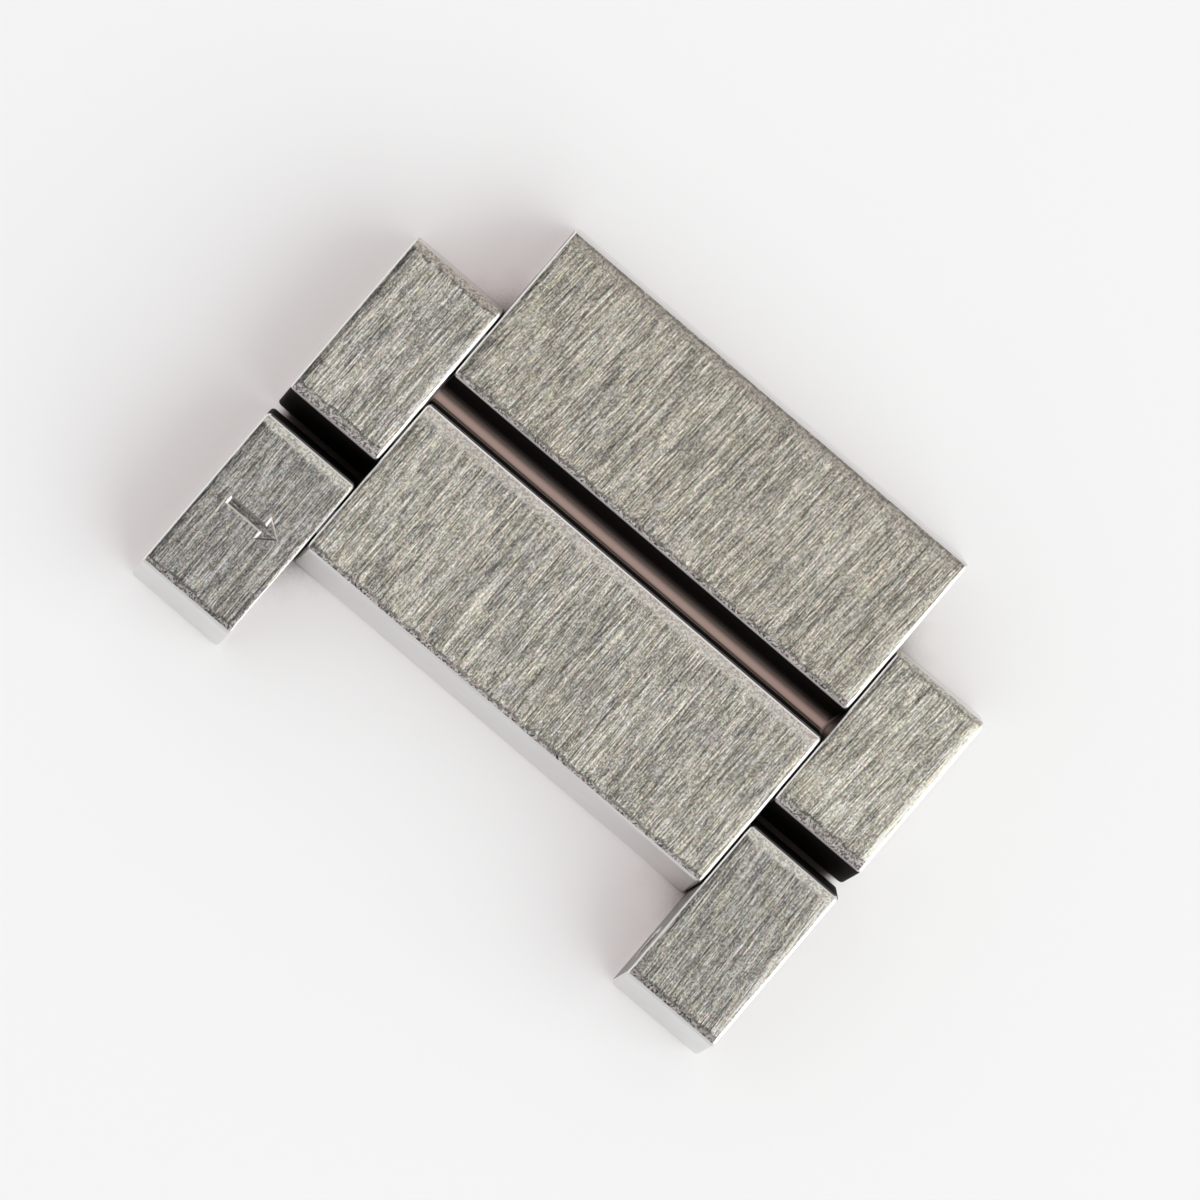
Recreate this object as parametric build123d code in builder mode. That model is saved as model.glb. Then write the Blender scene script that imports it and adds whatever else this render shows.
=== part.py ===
from build123d import *
import os

# Section of a solid steel watch bracelet: two wide centre links and four narrow outer links,
# staggered by half a pitch and hinged on three friction pins.
# Millimetres. X runs across the bracelet, Y along it, Z up. The show side lies on z = 0
# and the inner (wrist) side is on top.

# Overall sizes
bracelet_width = 20.0
link_thickness = 3.2
pin_spacing = 3.025
side_clearance = 0.05
outer_show_slit = 0.11
centre_show_slit = 0.24

# Link sizes: each link is longer on the show side than on the inner side
outer_link_width = 3.05
centre_link_width = bracelet_width - 2 * (outer_link_width + side_clearance)
link_pitch = 2 * pin_spacing
centre_inner_length = 5.10
centre_show_length = link_pitch - centre_show_slit
outer_inner_length = 5.22
outer_show_length = link_pitch - outer_show_slit

# Edges of the links
worn_edge_width = 0.32
worn_edge_drop = 0.06
worn_edge_radius = 0.80
inner_end_radius = 0.13
show_end_radius = 0.20
flank_bevel = 0.10
show_bevel_width = 0.45
show_bevel_height = 0.35

# Pins and bores
pin_radius = 0.50
pin_clearance = 0.03
pin_recess = 0.20
pin_end_bevel = 0.12
pin_slot_width = 0.16
pin_slot_length = 5.5
bore_height = link_thickness / 2
centre_bore_radius = pin_radius + pin_clearance
outer_bore_radius = pin_radius
pin_length = bracelet_width - 2 * pin_recess

# Recessed arrow on one outer link
arrow_length = 1.71
arrow_head_length = 0.54
arrow_head_width = 0.76
arrow_shaft_width = 0.25
arrow_depth = 0.08
arrow_offset = 0.12

# Places along and across the bracelet
centre_front_y = 1.5 * pin_spacing
outer_front_y = 0.5 * pin_spacing
centre_rear_y = -0.5 * pin_spacing
outer_rear_y = -1.5 * pin_spacing
outer_x = (bracelet_width - outer_link_width) / 2

os.makedirs("parts", exist_ok=True)


# One solid link with two pin bores, and with worn edges across the ends of its inner side
def build_link(width, inner_length, show_length, middle_x, middle_y, bore_radius):
    half_inner = inner_length / 2
    half_show = show_length / 2
    half_flat = half_inner - worn_edge_width
    worn_height = link_thickness - worn_edge_drop
    corners = [
        ((middle_y - half_show, 0), show_end_radius),
        ((middle_y + half_show, 0), show_end_radius),
        ((middle_y + half_inner, worn_height), inner_end_radius),
        ((middle_y + half_flat, link_thickness), worn_edge_radius),
        ((middle_y - half_flat, link_thickness), worn_edge_radius),
        ((middle_y - half_inner, worn_height), inner_end_radius),
    ]
    points = [point for point, radius in corners]
    radii = [radius for point, radius in corners]
    with BuildPart() as link:
        with BuildSketch(Plane.YZ.offset(middle_x)):
            with BuildLine():
                FilletPolyline(*points, radius=radii, close=True)
            make_face()
        extrude(amount=width / 2, both=True)
        chamfer(link.faces().filter_by(Axis.X).edges(), flank_bevel)
        with BuildSketch(Plane.YZ.offset(middle_x)):
            with Locations((middle_y, bore_height)):
                with GridLocations(pin_spacing, 0, 2, 1):
                    Circle(bore_radius)
        extrude(amount=width, both=True, mode=Mode.SUBTRACT)
    return link


# An outer link on the left (side -1) or right (side 1), with a wide bevel along its free flank
def build_outer_link(side, middle_y):
    plain_link = build_link(
        outer_link_width,
        outer_inner_length,
        outer_show_length,
        side * outer_x,
        middle_y,
        outer_bore_radius,
    )
    flank_x = side * bracelet_width / 2
    with BuildPart() as outer_link:
        add(plain_link.part)
        with BuildSketch(Plane.XZ):
            with BuildLine():
                Polyline(
                    (flank_x, 0),
                    (flank_x - side * show_bevel_width, 0),
                    (flank_x, show_bevel_height),
                    close=True,
                )
            make_face()
        extrude(amount=2 * link_pitch, both=True, mode=Mode.SUBTRACT)
    return outer_link


# The arrow is cut into the inner side and points inward, the way the pin is pushed out
def cut_arrow(plain_link, middle_x, middle_y):
    tail = -arrow_length / 2
    tip = arrow_length / 2
    neck = tip - arrow_head_length
    half_shaft = arrow_shaft_width / 2
    half_head = arrow_head_width / 2
    with BuildPart() as marked_link:
        add(plain_link.part)
        with BuildSketch(Plane.XY.offset(link_thickness)):
            with Locations((middle_x, middle_y + arrow_offset)):
                Polygon(
                    (tail, -half_shaft),
                    (neck, -half_shaft),
                    (neck, -half_head),
                    (tip, 0),
                    (neck, half_head),
                    (neck, half_shaft),
                    (tail, half_shaft),
                    align=None,
                )
        extrude(amount=-arrow_depth, mode=Mode.SUBTRACT)
    return marked_link


# Friction pin across the whole bracelet, split at its right end
def build_pin(middle_y):
    with BuildPart() as pin:
        with BuildSketch(Plane.YZ):
            with Locations((middle_y, bore_height)):
                Circle(pin_radius)
        extrude(amount=pin_length / 2, both=True)
        chamfer(pin.faces().filter_by(Axis.X).edges(), pin_end_bevel)
        with BuildSketch(Plane.YZ.offset(pin_length / 2 - pin_slot_length)):
            with Locations((middle_y, bore_height)):
                Rectangle(pin_slot_width, link_thickness)
        extrude(amount=pin_length, mode=Mode.SUBTRACT)
    return pin


def save(piece, name):
    piece.part.label = name
    export_step(piece.part, "parts/" + name + ".step")


# Centre links
for row, middle_y in [("front", centre_front_y), ("rear", centre_rear_y)]:
    centre_link = build_link(
        centre_link_width,
        centre_inner_length,
        centre_show_length,
        0,
        middle_y,
        centre_bore_radius,
    )
    save(centre_link, "centre_link_" + row)

# Outer links, with the arrow on the left one of the rear row
save(build_outer_link(-1, outer_front_y), "outer_link_front_left")
save(build_outer_link(1, outer_front_y), "outer_link_front_right")
save(build_outer_link(1, outer_rear_y), "outer_link_rear_right")
marked = cut_arrow(build_outer_link(-1, outer_rear_y), -outer_x, outer_rear_y)
save(marked, "outer_link_rear_left")

# Pins
for place, middle_y in [("front", pin_spacing), ("middle", 0), ("rear", -pin_spacing)]:
    save(build_pin(middle_y), "pin_" + place)
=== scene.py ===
import bpy
import bmesh
import math
from mathutils import Matrix, Vector


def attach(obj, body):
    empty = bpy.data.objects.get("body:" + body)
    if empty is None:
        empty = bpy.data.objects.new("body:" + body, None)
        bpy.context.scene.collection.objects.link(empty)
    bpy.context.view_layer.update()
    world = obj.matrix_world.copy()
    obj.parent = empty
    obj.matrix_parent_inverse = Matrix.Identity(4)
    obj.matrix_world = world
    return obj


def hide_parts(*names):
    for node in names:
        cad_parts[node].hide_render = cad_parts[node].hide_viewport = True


# Section of a steel watch bracelet, lying on its show side.
# Sizes in the dictionaries are millimetres; meshes are scaled to metres when they are done.
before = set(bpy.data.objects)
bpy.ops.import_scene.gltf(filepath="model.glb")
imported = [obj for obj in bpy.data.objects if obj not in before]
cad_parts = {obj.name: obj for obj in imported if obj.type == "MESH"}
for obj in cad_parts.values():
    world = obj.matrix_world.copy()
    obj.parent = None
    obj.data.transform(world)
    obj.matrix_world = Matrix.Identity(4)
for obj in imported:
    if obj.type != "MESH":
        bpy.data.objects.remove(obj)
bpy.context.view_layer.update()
print("frame loaded,", len(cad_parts), "nodes")

mm = 0.001
near = 1e-4
thickness = 3.2
pinSpacing = 3.025
boreHeight = 1.6


# Small helpers for meshes

# picks the vertices, edges or faces out of what an operator gives back
def only(kind, geometry):
    return [g for g in geometry if isinstance(g, kind)]


def everything(bm):
    return list(bm.verts) + list(bm.edges) + list(bm.faces)


# rounds edges, or the corners of an outline
def roundOff(bm, parts, width, segments, affect="EDGES"):
    bmesh.ops.bevel(bm, geom=parts, offset=width, offset_type="OFFSET", affect=affect,
                    segments=segments, profile=0.5, material=-1, clamp_overlap=True)


def newObject(name, bm):
    mesh = bpy.data.meshes.new(name)
    bm.to_mesh(mesh)
    bm.free()
    made = bpy.data.objects.new(name, mesh)
    bpy.context.scene.collection.objects.link(made)
    return made


# gives the object the mesh that its modifiers make
def applyModifiers(made):
    ready = made.evaluated_get(bpy.context.evaluated_depsgraph_get())
    mesh = bpy.data.meshes.new_from_object(ready)
    made.modifiers.clear()
    made.data = mesh


# cuts the tool's shape out of the object, and removes the tool
def cutOut(made, tool):
    boolean = made.modifiers.new("cut", "BOOLEAN")
    boolean.operation = "DIFFERENCE"
    boolean.solver = "EXACT"
    boolean.object = tool
    boolean.material_mode = "TRANSFER"
    applyModifiers(made)
    bpy.data.objects.remove(tool)


# smooth shading, except in the arrow, with normals that leave the large faces flat; then metres
def finishPiece(made, body, node, materials):
    for polygon in made.data.polygons:
        polygon.use_smooth = polygon.material_index == 0
    weighted = made.modifiers.new("flat faces", "WEIGHTED_NORMAL")
    weighted.weight = 100
    weighted.thresh = 0.0
    weighted.keep_sharp = True
    applyModifiers(made)
    made.data.transform(Matrix.Scale(mm, 4))
    for i, material in enumerate(materials):
        if i < len(made.data.materials):
            made.data.materials[i] = material
        else:
            made.data.materials.append(material)
    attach(made, body)
    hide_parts(node)


# Small helpers for materials

def feed(tree, socket, value):
    if isinstance(value, bpy.types.NodeSocket):
        tree.links.new(value, socket)
    else:
        socket.default_value = value


def addNode(tree, kind, inputs=None, **settings):
    made = tree.nodes.new(kind)
    for name, value in settings.items():
        setattr(made, name, value)
    for name, value in (inputs or {}).items():
        feed(tree, made.inputs[name], value)
    return made


def calc(tree, operation, *values):
    made = addNode(tree, "ShaderNodeMath", operation=operation)
    for socket, value in zip(made.inputs, values):
        feed(tree, socket, value)
    return made.outputs[0]


def vectorCalc(tree, operation, *values):
    made = addNode(tree, "ShaderNodeVectorMath", operation=operation)
    for socket, value in zip(made.inputs, values):
        feed(tree, socket, value)
    return made


def scaleColour(tree, colour, factor):
    return addNode(tree, "ShaderNodeVectorMath", {0: colour, "Scale": factor},
                   operation="SCALE").outputs[0]


def remap(tree, value, low, high, newLow=0.0, newHigh=1.0, smooth=True):
    made = addNode(tree, "ShaderNodeMapRange", {
        "Value": value, "From Min": low, "From Max": high,
        "To Min": newLow, "To Max": newHigh,
    }, interpolation_type="SMOOTHSTEP" if smooth else "LINEAR")
    return made.outputs["Result"]


# turns a place by so many degrees about z
def turned(tree, place, degrees):
    return addNode(tree, "ShaderNodeMapping", {
        "Vector": place, "Rotation": (0, 0, math.radians(degrees)),
    }).outputs[0]


def noise(tree, place, scale, turn=0.0, detail=2.0, roughness=0.5, shift=(0, 0, 0)):
    mapping = addNode(tree, "ShaderNodeMapping", {
        "Vector": turned(tree, place, turn) if turn else place, "Scale": scale, "Location": shift,
    })
    made = addNode(tree, "ShaderNodeTexNoise", {
        "Vector": mapping.outputs[0], "Scale": 1.0, "Detail": detail, "Roughness": roughness,
    })
    return made.outputs["Fac"]


# straight brush marks: long random cells, each with its own brightness
def streaks(tree, place, scale, turn=0.0, shift=(0, 0, 0)):
    mapping = addNode(tree, "ShaderNodeMapping", {
        "Vector": turned(tree, place, turn), "Scale": scale, "Location": shift,
    })
    made = addNode(tree, "ShaderNodeTexVoronoi", {"Vector": mapping.outputs[0], "Scale": 1.0})
    return addNode(tree, "ShaderNodeSeparateXYZ", {"Vector": made.outputs["Color"]}).outputs


def mixValue(tree, factor, a, b):
    made = addNode(tree, "ShaderNodeMix", data_type="FLOAT")
    for socket, value in zip([made.inputs[0], made.inputs[2], made.inputs[3]], [factor, a, b]):
        feed(tree, socket, value)
    return made.outputs[0]


def mixColour(tree, factor, a, b, way="MIX"):
    made = addNode(tree, "ShaderNodeMix", data_type="RGBA", blend_type=way)
    for socket, value in zip([made.inputs[0], made.inputs[6], made.inputs[7]], [factor, a, b]):
        feed(tree, socket, value)
    return made.outputs[2]


def ramp(tree, value, stops):
    made = addNode(tree, "ShaderNodeValToRGB", {"Fac": value})
    elements = made.color_ramp.elements
    while len(elements) < len(stops):
        elements.new(0.5)
    for element, (position, colour) in zip(elements, stops):
        element.position = position
        element.color = colour
    return made.outputs["Color"]


# adds up patterns, each counted from its middle and given a weight
def blend(tree, parts, start=0.5):
    total = start
    for value, weight in parts:
        total = calc(tree, "MULTIPLY_ADD", value, weight, total)
        total = calc(tree, "SUBTRACT", total, weight / 2)
    return total


def newMaterial(name):
    material = bpy.data.materials.new(name)
    material.use_nodes = True
    tree = material.node_tree
    tree.nodes.clear()
    surface = addNode(tree, "ShaderNodeBsdfPrincipled")
    output = addNode(tree, "ShaderNodeOutputMaterial")
    tree.links.new(surface.outputs[0], output.inputs[0])
    return material, tree, surface


# object coordinates in millimetres
def readPlace(tree):
    coordinates = addNode(tree, "ShaderNodeTexCoord")
    return addNode(tree, "ShaderNodeMapping", {
        "Vector": coordinates.outputs["Object"], "Scale": (1 / mm, 1 / mm, 1 / mm),
    }).outputs[0]


# the surface's own direction
def readFacing(tree):
    return addNode(tree, "ShaderNodeTexCoord").outputs["Normal"]


# x, y and z of a place or a direction
def split(tree, vector):
    return addNode(tree, "ShaderNodeSeparateXYZ", {"Vector": vector}).outputs


# gives the surface its colour, roughness, metal and relief, with the relief's depth in millimetres
def dress(tree, surface, colour, matte, metal, height, depth, strength=1.0):
    bump = addNode(tree, "ShaderNodeBump", {
        "Height": height, "Strength": strength, "Distance": depth * mm,
    })
    feed(tree, surface.inputs["Base Color"], colour)
    feed(tree, surface.inputs["Roughness"], matte)
    feed(tree, surface.inputs["Metallic"], metal)
    feed(tree, surface.inputs["Normal"], bump.outputs[0])


# Steel of the links. Pairs of numbers say where a change starts and where it ends;
# in fours, the last two are the values there.

brushLook = {
    # brush marks, long, crossed and short, and grain: scale, turn from the link's lean, weight
    "longScale": (31, 0.40, 31), "longTurn": 0.2, "long": 0.22,
    "crossedScale": (33, 1.1, 33), "crossedTurn": -0.5, "crossed": 0.28,
    "shortScale": (35, 2.4, 35), "short": 0.36,
    "grainScale": (39, 22, 39), "grain": 0.44,
    # wider light and dark stripes and patches
    "stripeScale": (9, 0.35, 9), "stripe": 0.14,
    "patchScale": (1.3, 0.35, 1.3), "patchRoughness": 0.6, "patch": 0.16,
    # the marks aren't quite straight
    "swayScale": (0.8, 0.3, 0.8), "sway": 0.05,
    "tones": [
        (0.00, (0.056, 0.054, 0.052, 1)),
        (0.30, (0.192, 0.185, 0.164, 1)),
        (0.50, (0.356, 0.341, 0.292, 1)),
        (0.70, (0.612, 0.585, 0.502, 1)),
        (1.00, (0.95, 0.93, 0.84, 1)),
    ],
    "warmTint": (1.09, 0.955, 1.01, 1),
    "coolTint": (0.925, 1.045, 0.99, 1),
    "goldTint": (1.03, 1.00, 0.90, 1),
    "blueTint": (0.98, 0.995, 1.10, 1),
}

# painted highlight near the right edge, painted shade and a painted dark line near the left edge:
# distances from the edges on the right and on the left
edgeLook = {
    "light": (0.38, 0.12),
    "shade": (0.42, 0.12),
    "shadeLineInner": (0.22, 0.13),
    "shadeLineOuter": (0.06, 0.09),
    "shadeLineDark": 0.20,
}

plainPolish = (0.68, 0.68, 0.675, 1)

# worn bands across the ends of a link: width, colour and amount, then place and strength of
# the dark line, strength of the grain, where the polish starts on the rounding, and its colour
wornLooks = {
    "narrow": {"width": 0.15, "colour": (0.31, 0.285, 0.28, 1), "amount": 1.0, "lineAt": 0.175,
               "line": 0.75, "grain": 1.0, "polishStart": 0.62, "polish": plainPolish},
    "broad": {"width": 0.25, "colour": (0.32, 0.295, 0.29, 1), "amount": 1.0, "lineAt": 0.31,
              "line": 0.95, "grain": 0.8, "polishStart": 0.62, "polish": plainPolish},
    "dark": {"width": 0.20, "colour": (0.24, 0.225, 0.22, 1), "amount": 1.0, "lineAt": 0.23,
             "line": 0.95, "grain": 0.9, "polishStart": 0.58, "polish": plainPolish},
    # worn; its brown band colour and brown polish are also a painted reflection of the shaded
    # floor
    "wornWithPaintedReflection": {"width": 0.19, "colour": (0.40, 0.36, 0.32, 1), "amount": 1.0, "lineAt": 0.24,
              "line": 0.90, "grain": 0.45, "polishStart": 0.90, "polish": (0.50, 0.47, 0.43, 1)},
    "crisp": {"width": 0.36, "colour": (0.32, 0.29, 0.26, 1), "amount": 0.6, "lineAt": 0.115,
              "line": 0.60, "grain": 0.60, "polishStart": 0.56, "polish": (0.72, 0.71, 0.69, 1)},
    "warm": {"width": 0.11, "colour": (0.48, 0.45, 0.405, 1), "amount": 1.0, "lineAt": 0.14,
             "line": 0.55, "grain": 0.40, "polishStart": 0.86, "polish": (0.55, 0.53, 0.50, 1)},
    "light": {"width": 0.33, "colour": (0.60, 0.58, 0.525, 1), "amount": 0.85, "lineAt": 0.33,
              "line": 0.0, "grain": 0.40, "polishStart": 0.36, "polish": (0.80, 0.79, 0.77, 1)},
    "soft": {"width": 0.40, "colour": (0.56, 0.525, 0.485, 1), "amount": 0.85, "lineAt": 0.40,
             "line": 0.0, "grain": 0.35, "polishStart": 0.34, "polish": (0.95, 0.94, 0.92, 1)},
}

# what all worn bands share
wearLook = {
    "onTop": (0.25, 0.45),
    "raggedScale": (4, 2, 4), "raggedDetail": 3, "raggedRoughness": 0.75, "ragged": 0.26,
    "bandFade": (0.06, -0.05),
    "lineFade": (0.055, 0.02), "lineColour": (0.10, 0.095, 0.095, 1),
    "brokenScale": (2.2, 2, 2.2), "brokenRoughness": 0.6, "broken": (0.32, 0.50),
    "pitScale": (25, 21, 25), "pitsInLine": (0.1, 0.7, 0.30, 1.0), "pits": (0.0, 1.0, 0.12, 2.15),
}

# polished ends and flank edges, by how far the surface turns to the side
polishLook = {
    "endFade": (0.0, 0.10),
    "bevel": (0.93, 0.925, 0.91, 1),
    "bevelFade": (0.0, 0.16), "leftBevelStart": 0.42,
    # painted shade: the flat flanks' colour is scaled down to two thirds
    "flankFade": (0.99, 0.93), "flankShade": (0.93, 0.99, 1.0, 0.66),
    "lineScale": (0.6, 16, 16), "lineRoughness": 0.6, "lines": (0.35, 0.65, 0.95, 1.0),
    "smudgeScale": (0.7, 0.7, 0.9), "smudgeRoughness": 0.55, "smudges": (0.3, 0.7, 0.95, 1.0),
    "detail": 3,
}

# painted shade: the end faces inside the gaps are painted near black, by height; low down, the
# painted shade thins and the slit's painted glow shows in them
gapShadeLook = {
    "colour": (0.010, 0.008, 0.007, 1),
    "fade": (3.105, 3.07),
    "glow": (0.3, 1.5, 0.45, 1.0),
    "shine": 0.05,
}

# roughness of each finish, and relief
matteLook = {
    "brushed": (0.25, 0.75, 0.38, 0.30),
    "worn": 0.40,
    "bevel": 0.28,
    "polish": (0.35, 0.65, 0.17, 0.11),
    "gap": 0.60,
    "pitRelief": 0.9, "bevelRelief": 0.85, "flatRelief": 0.5, "reliefDepth": 0.003,
}


# brush marks along the bracelet, with a little sway; gives the marks, the tone and the tints
def brushMarks(tree, place, seed, lean, look=brushLook):
    sway = noise(tree, place, look["swayScale"], shift=(seed, 0, 0), detail=1.0)
    sideways = addNode(tree, "ShaderNodeCombineXYZ", {
        "X": calc(tree, "MULTIPLY", sway, look["sway"]),
    }).outputs[0]
    swayed = vectorCalc(tree, "ADD", place, sideways).outputs[0]
    long = streaks(tree, swayed, look["longScale"], lean + look["longTurn"], (seed, 3, 1))
    crossed = streaks(tree, swayed, look["crossedScale"], lean + look["crossedTurn"], (5, seed, 2))
    short = streaks(tree, swayed, look["shortScale"], lean, (seed, 6, 9))
    grain = streaks(tree, place, look["grainScale"], lean, (seed, 8, 3))
    stripe = noise(tree, swayed, look["stripeScale"], lean, shift=(4, seed, 6))
    patch = noise(tree, place, look["patchScale"], lean, roughness=look["patchRoughness"],
                  shift=(2, seed, 4))
    marks = blend(tree, [(long["X"], look["long"]), (crossed["X"], look["crossed"]),
                         (short["X"], look["short"]), (grain["X"], look["grain"])])
    tone = blend(tree, [(stripe, look["stripe"]), (patch, look["patch"])], start=marks)
    tints = [mixColour(tree, grain["Y"], look["warmTint"], look["coolTint"]),
             mixColour(tree, short["Y"], look["goldTint"], look["blueTint"])]
    return marks, tone, tints


# painted light: a painted highlight along the edge on the right, and a painted shade with a
# painted dark line inside the edge on the left
def shadeEdges(tree, tone, x, link, look=edgeLook):
    fromRight = calc(tree, "SUBTRACT", link["middle"][0] + link["width"] / 2, x)
    fromLeft = calc(tree, "SUBTRACT", link["width"], fromRight)
    light = remap(tree, fromRight, *look["light"], 0.0, link["edgeLight"])
    paintedShadeLine = calc(tree, "MULTIPLY", remap(tree, fromLeft, *look["shadeLineInner"]),
                    remap(tree, fromLeft, *look["shadeLineOuter"]))
    shade = remap(tree, fromLeft, *look["shade"], 0.0, link["leftShade"])
    tone = calc(tree, "ADD", tone, light)
    tone = calc(tree, "SUBTRACT", tone, calc(tree, "MULTIPLY", paintedShadeLine, look["shadeLineDark"]))
    return calc(tree, "SUBTRACT", tone, shade)


def linkSteel(name, link):
    material, tree, surface = newMaterial(name)
    place = readPlace(tree)
    at, facing = split(tree, place), split(tree, readFacing(tree))
    seed, lean = link["seed"], link["lean"]
    marks, tone, tints = brushMarks(tree, place, seed, lean)
    # painted highlight and painted shade along the edges
    tone = shadeEdges(tree, tone, at["X"], link)
    colour = ramp(tree, tone, brushLook["tones"])
    for tint in tints + [link["level"]]:
        colour = mixColour(tree, 1.0, colour, tint, "MULTIPLY")

    # each end of the inner side has a worn band and a polish of its own
    rear, front = wornLooks[link["rearEnd"]], wornLooks[link["frontEnd"]]
    fromMiddle = calc(tree, "SUBTRACT", at["Y"], link["middle"][1])
    fromEnd = calc(tree, "SUBTRACT", link["innerLength"] / 2,
                   calc(tree, "ABSOLUTE", fromMiddle))
    isRear = calc(tree, "LESS_THAN", fromMiddle, 0.0)
    worn = {}
    for key in front:
        mix = mixColour if key in ("colour", "polish") else mixValue
        worn[key] = mix(tree, isRear, front[key], rear[key])

    # the band has a ragged border
    look = wearLook
    onTop = remap(tree, facing["Z"], *look["onTop"])
    ragged = noise(tree, place, look["raggedScale"], detail=look["raggedDetail"],
                   roughness=look["raggedRoughness"], shift=(3, seed, 5))
    raggedEnd = blend(tree, [(ragged, look["ragged"])], start=fromEnd)
    inside = calc(tree, "SUBTRACT", raggedEnd, worn["width"])
    band = calc(tree, "MULTIPLY", remap(tree, inside, *look["bandFade"]),
                calc(tree, "MULTIPLY", onTop, worn["amount"]))

    # the dark line is broken and pitted, and the band is speckled
    fromLine = calc(tree, "ABSOLUTE", calc(tree, "SUBTRACT", raggedEnd, worn["lineAt"]))
    pitted = streaks(tree, place, look["pitScale"], lean, (seed, 2, 2))["X"]
    broken = noise(tree, place, look["brokenScale"], roughness=look["brokenRoughness"],
                   shift=(seed, 5, 7))
    line = remap(tree, fromLine, *look["lineFade"])
    for part in (remap(tree, broken, *look["broken"]), remap(tree, pitted, *look["pitsInLine"]),
                 worn["line"], onTop):
        line = calc(tree, "MULTIPLY", line, part)
    speckle = mixValue(tree, worn["grain"], 1.0, remap(tree, pitted, *look["pits"]))
    colour = mixColour(tree, band, colour, scaleColour(tree, worn["colour"], speckle))
    colour = mixColour(tree, line, colour, look["lineColour"])

    # polished ends and flank edges; the flat flanks get a painted shade that makes them a third
    # darker
    look = polishLook
    endTurn = calc(tree, "SUBTRACT", calc(tree, "ABSOLUTE", facing["Y"]), worn["polishStart"])
    endFace = remap(tree, endTurn, *look["endFade"])
    flank = calc(tree, "ABSOLUTE", facing["X"])
    bevelStart = mixValue(tree, calc(tree, "LESS_THAN", facing["X"], 0.0),
                          link["bevelStart"], look["leftBevelStart"])
    bevel = remap(tree, calc(tree, "SUBTRACT", flank, bevelStart), *look["bevelFade"])
    bevel = calc(tree, "MULTIPLY", bevel, remap(tree, flank, *look["flankFade"]))
    # painted shade: the flat flanks are darkened
    colour = scaleColour(tree, colour, remap(tree, flank, *look["flankShade"]))
    colour = mixColour(tree, bevel, colour, look["bevel"])

    # faint lines and smudges in the polish
    lines = noise(tree, place, look["lineScale"], detail=look["detail"],
                  roughness=look["lineRoughness"], shift=(seed, 1, 5))
    smudge = noise(tree, place, look["smudgeScale"], detail=look["detail"],
                   roughness=look["smudgeRoughness"], shift=(6, seed, 2))
    wear = calc(tree, "MULTIPLY", remap(tree, lines, *look["lines"]),
                remap(tree, smudge, *look["smudges"]))
    colour = mixColour(tree, endFace, colour, scaleColour(tree, worn["polish"], wear))

    # painted shade: the end faces inside the gaps are painted near black and not metallic
    look = gapShadeLook
    paintedGapShade = isRear if link["gapEnd"] == "rear" else calc(tree, "SUBTRACT", 1.0, isRear)
    paintedGapShade = calc(tree, "MULTIPLY", paintedGapShade, endFace)
    paintedGapShade = calc(tree, "MULTIPLY", paintedGapShade, remap(tree, at["Z"], *look["fade"]))
    if link["side"] == 0:
        paintedGapShade = calc(tree, "MULTIPLY", paintedGapShade, remap(tree, at["Z"], *look["glow"]))
    colour = mixColour(tree, paintedGapShade, colour, look["colour"])
    feed(tree, surface.inputs["Specular IOR Level"], mixValue(tree, paintedGapShade, 0.5, look["shine"]))

    look = matteLook
    matte = remap(tree, tone, *look["brushed"], smooth=False)
    matte = mixValue(tree, band, matte, look["worn"])
    matte = mixValue(tree, bevel, matte, look["bevel"])
    matte = mixValue(tree, endFace, matte, remap(tree, lines, *look["polish"]))
    matte = mixValue(tree, paintedGapShade, matte, look["gap"])
    height = mixValue(tree, band, marks, calc(tree, "MULTIPLY", pitted, look["pitRelief"]))
    plain = calc(tree, "MAXIMUM", endFace, calc(tree, "MULTIPLY", bevel, look["bevelRelief"]))
    height = mixValue(tree, plain, height, look["flatRelief"])
    dress(tree, surface, colour, matte, mixValue(tree, paintedGapShade, 1.0, 0.0), height,
          look["reliefDepth"])
    return material


# the arrow's floor is dark and gets lighter towards the tip; its walls carry painted highlights
# and painted shade by the way they face
recessLook = {
    "lineScale": (3, 26, 26), "lineRoughness": 0.6, "lines": 1.2,
    "grainScale": (30, 24, 30), "grain": 0.45,
    "tip": (0.25, 0.40, -0.12, 0.06),
    "floorTones": [
        (0.10, (0.04, 0.039, 0.037, 1)),
        (0.50, (0.20, 0.193, 0.18, 1)),
        (0.90, (0.58, 0.56, 0.52, 1)),
    ],
    "wallFade": (0.97, 0.90),
    "paintedLightDirection": (0.906, 0.423, 0),
    "paintedWallTones": [
        (0.06, (0.95, 0.88, 0.86, 1)),
        (0.24, (0.34, 0.33, 0.31, 1)),
        (0.38, (0.05, 0.048, 0.045, 1)),
        (0.55, (0.10, 0.10, 0.09, 1)),
        (0.70, (0.66, 0.64, 0.60, 1)),
        (0.90, (0.98, 0.96, 0.94, 1)),
    ],
    "floorMatte": 0.42, "wallMatte": 0.50, "wallMetal": 0.25,
    "reliefDepth": 0.004,
}


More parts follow.
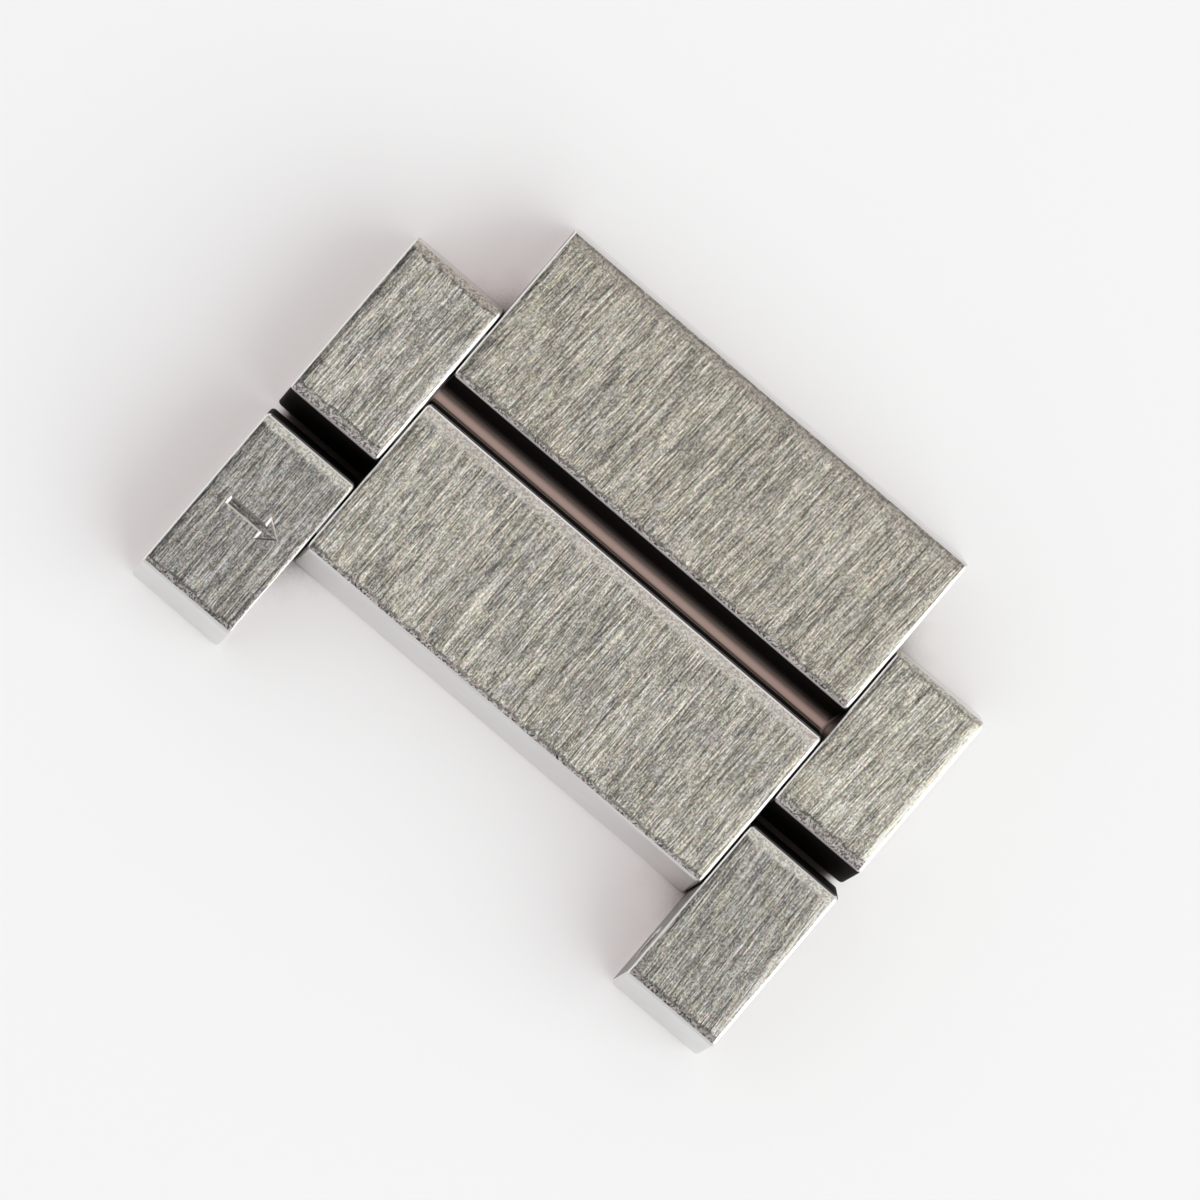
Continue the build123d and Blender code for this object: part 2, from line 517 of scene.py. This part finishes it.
def recessSteel(name, link, look=recessLook):
    material, tree, surface = newMaterial(name)
    place = readPlace(tree)
    at, facing = split(tree, place), split(tree, readFacing(tree))
    lines = noise(tree, place, look["lineScale"], roughness=look["lineRoughness"])
    grain = streaks(tree, place, look["grainScale"])["X"]
    tone = blend(tree, [(lines, look["lines"]), (grain, look["grain"])])
    alongArrow = calc(tree, "SUBTRACT", at["X"], link["middle"][0])
    tone = calc(tree, "ADD", tone, remap(tree, alongArrow, *look["tip"]))
    wall = remap(tree, facing["Z"], *look["wallFade"])
    level = addNode(tree, "ShaderNodeCombineXYZ", {"X": facing["X"], "Y": facing["Y"]}).outputs[0]
    level = vectorCalc(tree, "NORMALIZE", level).outputs[0]
    # painted light: each wall is painted bright or dark by how it faces a direction towards +x
    lit = vectorCalc(tree, "DOT_PRODUCT", level, look["paintedLightDirection"]).outputs["Value"]
    paintedWallLight = ramp(tree, calc(tree, "MULTIPLY_ADD", lit, 0.5, 0.5), look["paintedWallTones"])
    colour = mixColour(tree, wall, ramp(tree, tone, look["floorTones"]), paintedWallLight)
    dress(tree, surface, colour, mixValue(tree, wall, look["floorMatte"], look["wallMatte"]),
          mixValue(tree, wall, 1.0, look["wallMetal"]), tone, look["reliefDepth"])
    return material


pinLook = {
    "ringScale": (9, 2, 2), "ringRoughness": 0.6, "rings": 0.6,
    "smudgeScale": (1.2, 1.2, 1.2), "smudge": 0.4,
    "detail": 3,
    "fade": (0.35, 0.65),
    "dark": (0.46, 0.46, 0.465, 1), "bright": (0.70, 0.70, 0.70, 1),
    "darkMatte": 0.36, "brightMatte": 0.22,
    "relief": 0.6, "reliefDepth": 0.004,
}


def pinSteel(name, seed, look=pinLook):
    material, tree, surface = newMaterial(name)
    place = readPlace(tree)
    rings = noise(tree, place, look["ringScale"], detail=look["detail"],
                  roughness=look["ringRoughness"], shift=(seed, 0, 0))
    smudge = noise(tree, place, look["smudgeScale"], detail=look["detail"], shift=(0, seed, 0))
    tone = calc(tree, "ADD", calc(tree, "MULTIPLY", rings, look["rings"]),
                calc(tree, "MULTIPLY", smudge, look["smudge"]))
    colour = mixColour(tree, remap(tree, tone, *look["fade"]), look["dark"], look["bright"])
    matte = remap(tree, tone, *look["fade"], look["darkMatte"], look["brightMatte"])
    dress(tree, surface, colour, matte, 1.0, rings, look["reliefDepth"], look["relief"])
    return material


# Links. Each rounding has its radius and the number of its segments.

linkShape = {
    "wornWidth": 0.32,
    "wornDrop": 0.06,
    "wornRound": 0.80, "wornSegments": 4,
    "innerEndRound": 0.17, "innerEndSegments": 7,
    "showEndRound": 0.24, "showEndSegments": 8,
    "flankRound": 0.12, "flankSteps": 6,
}


# grows both flanks outward in steps that follow a quarter circle
def roundFlanks(bm, radius, steps):
    for side in (-1, 1):
        bm.normal_update()
        flank = [f for f in bm.faces if f.normal.x * side > 0.99]
        for step in range(steps):
            before, after = [math.pi / 2 * n / steps for n in (step, step + 1)]
            inward = radius * (math.cos(before) - math.cos(after))
            outward = radius * (math.sin(after) - math.sin(before))
            bmesh.ops.inset_region(bm, faces=flank, thickness=inward, depth=0,
                                   use_even_offset=True)
            bmesh.ops.translate(bm, vec=(side * outward, 0, 0), verts=flank[0].verts)


# an outline along the bracelet with rounded corners, drawn out across it
def makeLink(name, link, shape=linkShape):
    halfWidth = link["width"] / 2
    halfFlat = halfWidth - shape["flankRound"]
    show, inner = link["showLength"] / 2, link["innerLength"] / 2
    flat = inner - shape["wornWidth"]
    wornHeight = thickness - shape["wornDrop"]
    slope = math.atan2(show - inner, wornHeight)
    wornSlope = math.atan2(shape["wornDrop"], shape["wornWidth"])
    showTurn = (math.pi / 2 + slope) / 2
    innerTurn = (math.pi / 2 - slope - wornSlope) / 2
    # place of each corner, how far its rounding reaches, and segments
    corners = [
        (show, 0, shape["showEndRound"] * math.tan(showTurn), shape["showEndSegments"]),
        (inner, wornHeight, shape["innerEndRound"] * math.tan(innerTurn),
         shape["innerEndSegments"]),
        (flat, thickness, shape["wornRound"] * math.tan(wornSlope / 2), shape["wornSegments"]),
    ]
    bm = bmesh.new()
    outline = [(y, z) for y, z, reach, segments in corners]
    outline = [(-y, z) for y, z in outline] + outline[::-1]
    bm.faces.new([bm.verts.new((-halfFlat, y, z)) for y, z in outline])
    for y, z, reach, segments in corners:
        ends = [v for v in bm.verts if abs(abs(v.co.y) - y) < near and abs(v.co.z - z) < near]
        roundOff(bm, ends, reach, segments, affect="VERTICES")
    grown = bmesh.ops.extrude_face_region(bm, geom=list(bm.faces))["geom"]
    bmesh.ops.translate(bm, vec=(2 * halfFlat, 0, 0), verts=only(bmesh.types.BMVert, grown))
    bmesh.ops.recalc_face_normals(bm, faces=bm.faces)
    roundFlanks(bm, shape["flankRound"], shape["flankSteps"])
    if link["side"]:
        bevelShowFlank(bm, link["side"], halfWidth)
    made = newObject(name, bm)
    cutOut(made, boreTool(link))
    made.data.transform(Matrix.Translation((link["middle"][0], link["middle"][1], 0)))
    return made


# the wide bevel along an outer link's free flank, on the show side
showBevel = {"width": 0.45, "height": 0.35}


def bevelShowFlank(bm, side, halfWidth, shape=showBevel):
    normal = Vector((side * shape["height"], 0, -shape["width"])).normalized()
    cut = bmesh.ops.bisect_plane(
        bm, geom=everything(bm), dist=near / 10,
        plane_co=(side * (halfWidth - shape["width"]), 0, 0), plane_no=normal, clear_outer=True)
    rim = only(bmesh.types.BMEdge, cut["geom_cut"])
    bmesh.ops.edgenet_fill(bm, edges=rim)
    bmesh.ops.recalc_face_normals(bm, faces=bm.faces)
    for edge in rim:
        edge.smooth = False


# a bore is flared at its ends so that its rims come out rounded; each step of the flare has its
# depth in from the flank, and how much wider the bore is there
boreShape = {
    "flare": [(0.070, 0.0), (0.030, 0.008), (0.008, 0.025), (-0.060, 0.140)],
    "steps": 96,
}


# both bores of a link
def boreTool(link, shape=boreShape):
    radius, halfWidth = link["boreRadius"], link["width"] / 2
    half = [(halfWidth - depth, radius + wider) for depth, wider in shape["flare"]]
    profile = [(half[-1][0], 0)] + half[::-1]
    profile = profile + [(-x, r) for x, r in profile[::-1]]
    bm = bmesh.new()
    points = [bm.verts.new((x, 0, r)) for x, r in profile]
    edges = [bm.edges.new(pair) for pair in zip(points, points[1:])]
    bmesh.ops.spin(bm, geom=points + edges, cent=(0, 0, 0), axis=(1, 0, 0), dvec=(0, 0, 0),
                   angle=2 * math.pi, steps=shape["steps"], use_merge=True)
    bmesh.ops.remove_doubles(bm, verts=bm.verts, dist=near)
    bmesh.ops.recalc_face_normals(bm, faces=bm.faces)
    bmesh.ops.translate(bm, vec=(0, -pinSpacing / 2, boreHeight), verts=bm.verts)
    grown = bmesh.ops.duplicate(bm, geom=everything(bm))["geom"]
    bmesh.ops.translate(bm, vec=(0, pinSpacing, 0), verts=only(bmesh.types.BMVert, grown))
    return newObject("bores", bm)


centreSize = {"width": 13.8, "innerLength": 5.10, "showLength": 5.81, "boreRadius": 0.53}

# rows are counted in pin spacings from the middle pin
centreLinks = {
    "centre_link_front": {
        "row": 1.5, "body": "front_centre", "seed": 3.7, "lean": 3.3,
        "gapEnd": "rear", "rearEnd": "narrow", "frontEnd": "crisp",
        "level": (1.0, 1.0, 1.0, 1), "edgeLight": 0.24, "leftShade": 0.03, "bevelStart": 0.10,
    },
    "centre_link_rear": {
        "row": -0.5, "body": "rear_centre", "seed": 11.3, "lean": 0.7,
        "gapEnd": "front", "rearEnd": "narrow", "frontEnd": "soft",
        "level": (1.02, 1.03, 1.05, 1), "edgeLight": 0.18, "leftShade": 0.0, "bevelStart": 0.12,
    },
}

for node, link in centreLinks.items():
    link.update(centreSize, side=0, middle=(0, link["row"] * pinSpacing))
    made = makeLink("steel_" + node, link)
    steel = linkSteel("brushed steel " + node, link)
    finishPiece(made, link["body"], node, [steel])
print("centre links made")


outerSize = {"width": 3.05, "innerLength": 5.22, "showLength": 5.94, "boreRadius": 0.50}
outerMiddle = 8.475

outerLinks = {
    "outer_link_front_left": {
        "side": -1, "row": 0.5, "body": "front_pair", "seed": 21.9, "lean": 0.9,
        # its front end's brown tint is a painted reflection of the shaded floor
        "gapEnd": "rear", "rearEnd": "broad", "frontEnd": "wornWithPaintedReflection",
        "level": (1.02, 1.03, 1.07, 1), "edgeLight": 0.18, "leftShade": 0.12, "bevelStart": 0.12,
    },
    "outer_link_front_right": {
        "side": 1, "row": 0.5, "body": "front_pair", "seed": 34.1, "lean": 2.9,
        "gapEnd": "rear", "rearEnd": "broad", "frontEnd": "warm",
        "level": (1.07, 1.085, 1.09, 1), "edgeLight": 0.46, "leftShade": 0.0, "bevelStart": 0.04,
    },
    "outer_link_rear_left": {
        "side": -1, "row": -1.5, "body": "rear_pair", "seed": 42.6, "lean": -0.2,
        "gapEnd": "front", "rearEnd": "dark", "frontEnd": "light",
        "level": (0.80, 0.82, 0.88, 1), "edgeLight": -0.04, "leftShade": 0.05, "bevelStart": 0.50,
    },
    "outer_link_rear_right": {
        "side": 1, "row": -1.5, "body": "rear_pair", "seed": 57.2, "lean": -2.6,
        "gapEnd": "front", "rearEnd": "dark", "frontEnd": "light",
        "level": (0.87, 0.89, 0.93, 1), "edgeLight": 0.32, "leftShade": 0.0, "bevelStart": 0.08,
    },
}

# each step of the wall goes so far inward, so far down and so far towards the tip
arrow = {
    "link": "outer_link_rear_left",
    "offset": (0.02, 0.12),
    "length": 1.76, "headLength": 0.57, "headWidth": 0.82, "shaftWidth": 0.29,
    "wall": [(0.020, 0.010, 0.012), (0.020, 0.022, 0.012), (0.020, 0.036, 0.012)],
    "lip": 0.03, "lift": 0.002,
}


# recessed arrow, stamped into the inner side with sloping walls
def arrowTool(link):
    tail, tip = -arrow["length"] / 2, arrow["length"] / 2
    neck = tip - arrow["headLength"]
    shaft, head = arrow["shaftWidth"] / 2, arrow["headWidth"] / 2
    points = [(tail, -shaft), (neck, -shaft), (neck, -head), (tip, 0),
              (neck, head), (neck, shaft), (tail, shaft)]
    bm = bmesh.new()
    lid = bm.faces.new([bm.verts.new((x, y, arrow["lip"])) for x, y in points])
    grown = bmesh.ops.extrude_face_region(bm, geom=[lid])["geom"]
    bmesh.ops.translate(bm, vec=(0, 0, -arrow["lip"]), verts=only(bmesh.types.BMVert, grown))
    bmesh.ops.recalc_face_normals(bm, faces=bm.faces)
    bottom = only(bmesh.types.BMFace, grown)
    for inward, down, right in arrow["wall"]:
        bmesh.ops.inset_region(bm, faces=bottom, thickness=inward, depth=0, use_even_offset=True)
        bmesh.ops.translate(bm, vec=(right, 0, -down), verts=bottom[0].verts)
    bmesh.ops.recalc_face_normals(bm, faces=bm.faces)
    place = (link["middle"][0] + arrow["offset"][0], link["middle"][1] + arrow["offset"][1],
             thickness + arrow["lift"])
    bmesh.ops.translate(bm, vec=place, verts=bm.verts)
    tool = newObject("arrow", bm)
    tool.data.materials.append(bpy.data.materials.new("arrow cut"))
    return tool


for node, link in outerLinks.items():
    link.update(outerSize, middle=(link["side"] * outerMiddle, link["row"] * pinSpacing))
    made = makeLink("steel_" + node, link)
    materials = [linkSteel("brushed steel " + node, link)]
    if node == arrow["link"]:
        cutOut(made, arrowTool(link))
        materials.append(recessSteel("stamped arrow", link))
    finishPiece(made, link["body"], node, materials)
print("outer links made")


# Pins, split at one end

pins = {
    "pin_front": {"row": 1, "body": "front_pair", "seed": 2.0},
    "pin_middle": {"row": 0, "body": "front_pair", "seed": 5.0},
    "pin_rear": {"row": -1, "body": "rear_pair", "seed": 9.0},
}
pinShape = {
    "radius": 0.50, "length": 19.6, "sides": 72,
    "endRound": 0.12, "endSegments": 4,
    "slotWidth": 0.16, "slotLength": 5.5,
}


def makePin(name, pin, shape=pinShape):
    radius, half = shape["radius"], shape["length"] / 2
    bm = bmesh.new()
    bmesh.ops.create_cone(bm, cap_ends=True, segments=shape["sides"], radius1=radius,
                          radius2=radius, depth=shape["length"])
    bmesh.ops.rotate(bm, cent=(0, 0, 0), matrix=Matrix.Rotation(math.pi / 2, 3, "Y"),
                     verts=bm.verts)
    rims = [e for e in bm.edges if abs(e.verts[0].co.x - e.verts[1].co.x) < near]
    roundOff(bm, rims, shape["endRound"], shape["endSegments"])
    made = newObject(name, bm)
    slot = bmesh.new()
    bmesh.ops.create_cube(slot, size=1)
    bmesh.ops.scale(slot, vec=(shape["slotLength"] * 2, shape["slotWidth"], 4 * radius),
                    verts=slot.verts)
    bmesh.ops.translate(slot, vec=(half, 0, 0), verts=slot.verts)
    cutOut(made, newObject("slot", slot))
    made.data.transform(Matrix.Translation((0, pin["row"] * pinSpacing, boreHeight)))
    return made


for node, pin in pins.items():
    made = makePin("steel_" + node, pin)
    steel = pinSteel("ground steel " + node, pin["seed"])
    finishPiece(made, pin["body"], node, [steel])
print("pins made")


# Floor, light and camera

floorLook = {
    "size": 4.0,  # metres
    "drop": 0.005,
    "colour": (0.665, 0.748, 0.753, 1),
    "glow": (0.265, 0.186, 0.181, 1),
    "matte": 0.9,
    # painted shade where the links shut it in: how far they reach, and the share of open space
    "reach": 3, "aoSamples": 16,
    "paintedShadeColour": (0.05, 0.04, 0.035, 1), "shut": (0.38, 0.22),
    # painted shade and a painted glow in the slit between the centre links: distances along and
    # across it
    "paintedSlitShade": (0.25, 0.22, 0.19, 1), "paintedSlitGlow": (0.29, 0.20, 0.175, 1),
    "slitAlong": (7.0, 6.8), "slitAcross": (0.6, 0.4), "slitShut": (0.42, 0.28),
    "glowAcross": (0.22, 0.03, 0.10, 1.0), "glowFrom": (1.39, 1.46),
}


# 1 for what the camera sees, also in a reflection
def seenDirectly(tree):
    paths = addNode(tree, "ShaderNodeLightPath").outputs
    seen = calc(tree, "MAXIMUM", paths["Is Camera Ray"], paths["Is Glossy Ray"])
    return calc(tree, "MAXIMUM", seen, paths["Is Transmission Ray"])


# painted shade: the floor is painted dark, without its glow, where the links shut it in; the slit
# between the centre links is painted dim, with a painted glow
def floorFinish(look=floorLook):
    material, tree, surface = newMaterial("pale floor")
    at = split(tree, readPlace(tree))
    openness = addNode(tree, "ShaderNodeAmbientOcclusion", {"Distance": look["reach"] * mm},
                       samples=look["aoSamples"]).outputs["AO"]
    besideMiddle = calc(tree, "ABSOLUTE", at["X"])
    fromSlit = calc(tree, "ABSOLUTE", calc(tree, "SUBTRACT", at["Y"], pinSpacing / 2))
    inSlit = calc(tree, "MULTIPLY", remap(tree, besideMiddle, *look["slitAlong"]),
                  remap(tree, fromSlit, *look["slitAcross"]))
    # painted shade: floor that the links shut in is painted dark and loses its glow
    paintedFloorShade = calc(tree, "MULTIPLY", remap(tree, openness, *look["shut"]),
                  calc(tree, "SUBTRACT", 1.0, inSlit))
    inSlit = calc(tree, "MULTIPLY", inSlit, remap(tree, openness, *look["slitShut"]))
    # painted shade in the slit: its floor is painted dim brown
    colour = mixColour(tree, inSlit, look["colour"], look["paintedSlitShade"])
    colour = mixColour(tree, paintedFloorShade, colour, look["paintedShadeColour"])
    # painted glow in the slit, fading across it
    slitFade = calc(tree, "MULTIPLY", remap(tree, fromSlit, *look["glowAcross"]),
                    remap(tree, at["Y"], *look["glowFrom"]))
    strength = calc(tree, "MULTIPLY", seenDirectly(tree), calc(tree, "SUBTRACT", 1.0, paintedFloorShade))
    strength = calc(tree, "MULTIPLY", strength, mixValue(tree, inSlit, 1.0, slitFade))
    feed(tree, surface.inputs["Base Color"], colour)
    surface.inputs["Roughness"].default_value = look["matte"]
    surface.inputs["Specular IOR Level"].default_value = 0.0
    feed(tree, surface.inputs["Emission Color"],
         mixColour(tree, inSlit, look["glow"], look["paintedSlitGlow"]))
    feed(tree, surface.inputs["Emission Strength"], strength)
    return material


def makeFloor():
    bm = bmesh.new()
    bmesh.ops.create_grid(bm, x_segments=8, y_segments=8, size=floorLook["size"] / 2)
    bmesh.ops.translate(bm, vec=(0, 0, -floorLook["drop"] * mm), verts=bm.verts)
    floor = newObject("floor", bm)
    floor.data.materials.append(floorFinish())


# places and sizes of the lamp are metres
lightLook = {
    "zenith": (0.76, 0.75, 0.74, 1),
    "horizon": (0.86, 0.83, 0.82, 1), "horizonFade": (0.0, 0.9),
    "keySide": (1.10, 1.09, 1.07, 1), "keySideFade": (0.15, 0.60),
    "fill": (0.72, 0.72, 0.72, 1),
    "keyPlace": (0.96, 0.0, 0.63),
    "keySize": 1.60,
    "keyRadiance": 1.45,
}


# a soft studio all round; what is mirrored in the steel is brighter on the key lamp's side
def makeWorld(look=lightLook):
    world = bpy.data.worlds.new("soft studio")
    bpy.context.scene.world = world
    world.use_nodes = True
    tree = world.node_tree
    tree.nodes.clear()
    coordinates = addNode(tree, "ShaderNodeTexCoord")
    direction = split(tree, coordinates.outputs["Generated"])
    high = remap(tree, direction["Z"], *look["horizonFade"])
    colour = mixColour(tree, high, look["horizon"], look["zenith"])
    keySide = remap(tree, direction["X"], *look["keySideFade"])
    colour = mixColour(tree, keySide, colour, look["keySide"])
    colour = mixColour(tree, seenDirectly(tree), look["fill"], colour)
    back = addNode(tree, "ShaderNodeBackground", {"Color": colour, "Strength": 1.0})
    output = addNode(tree, "ShaderNodeOutputWorld")
    tree.links.new(back.outputs[0], output.inputs[0])


def makeKeyLamp(look=lightLook):
    key = bpy.data.lights.new("key softbox", "AREA")
    key.shape = "DISK"
    key.size = look["keySize"]
    key.energy = look["keyRadiance"] * math.pi * math.pi * (look["keySize"] / 2) ** 2
    lamp = bpy.data.objects.new("key softbox", key)
    lamp.location = look["keyPlace"]
    lamp.rotation_euler = (-Vector(look["keyPlace"])).to_track_quat("-Z", "Y").to_euler()
    bpy.context.scene.collection.objects.link(lamp)


cameraLook = {
    "at": (-9.5725, -20.1063, 302.15),
    "aim": (0.0243, 0.0710, 1.6),
    "up": (-0.6491, 0.7601, 0.0303),
    "lens": 337.5, "sensor": 36.0,
    "clipStart": 0.01, "clipEnd": 20.0,  # metres
}


def makeCamera(look=cameraLook):
    data = bpy.data.cameras.new("camera")
    data.lens = look["lens"]
    data.sensor_width = look["sensor"]
    data.clip_start = look["clipStart"]
    data.clip_end = look["clipEnd"]
    camera = bpy.data.objects.new("camera", data)
    at, aim = Vector(look["at"]) * mm, Vector(look["aim"]) * mm
    back = (at - aim).normalized()
    right = Vector(look["up"]).cross(back).normalized()
    up = back.cross(right)
    turn = Matrix((right, up, back)).transposed().to_4x4()
    camera.matrix_world = Matrix.Translation(at) @ turn
    bpy.context.scene.collection.objects.link(camera)
    bpy.context.scene.camera = camera


makeFloor()
makeWorld()
makeKeyLamp()
makeCamera()
bpy.context.scene.view_settings.view_transform = "Standard"
print("floor, light and camera made")

bpy.context.view_layer.update()
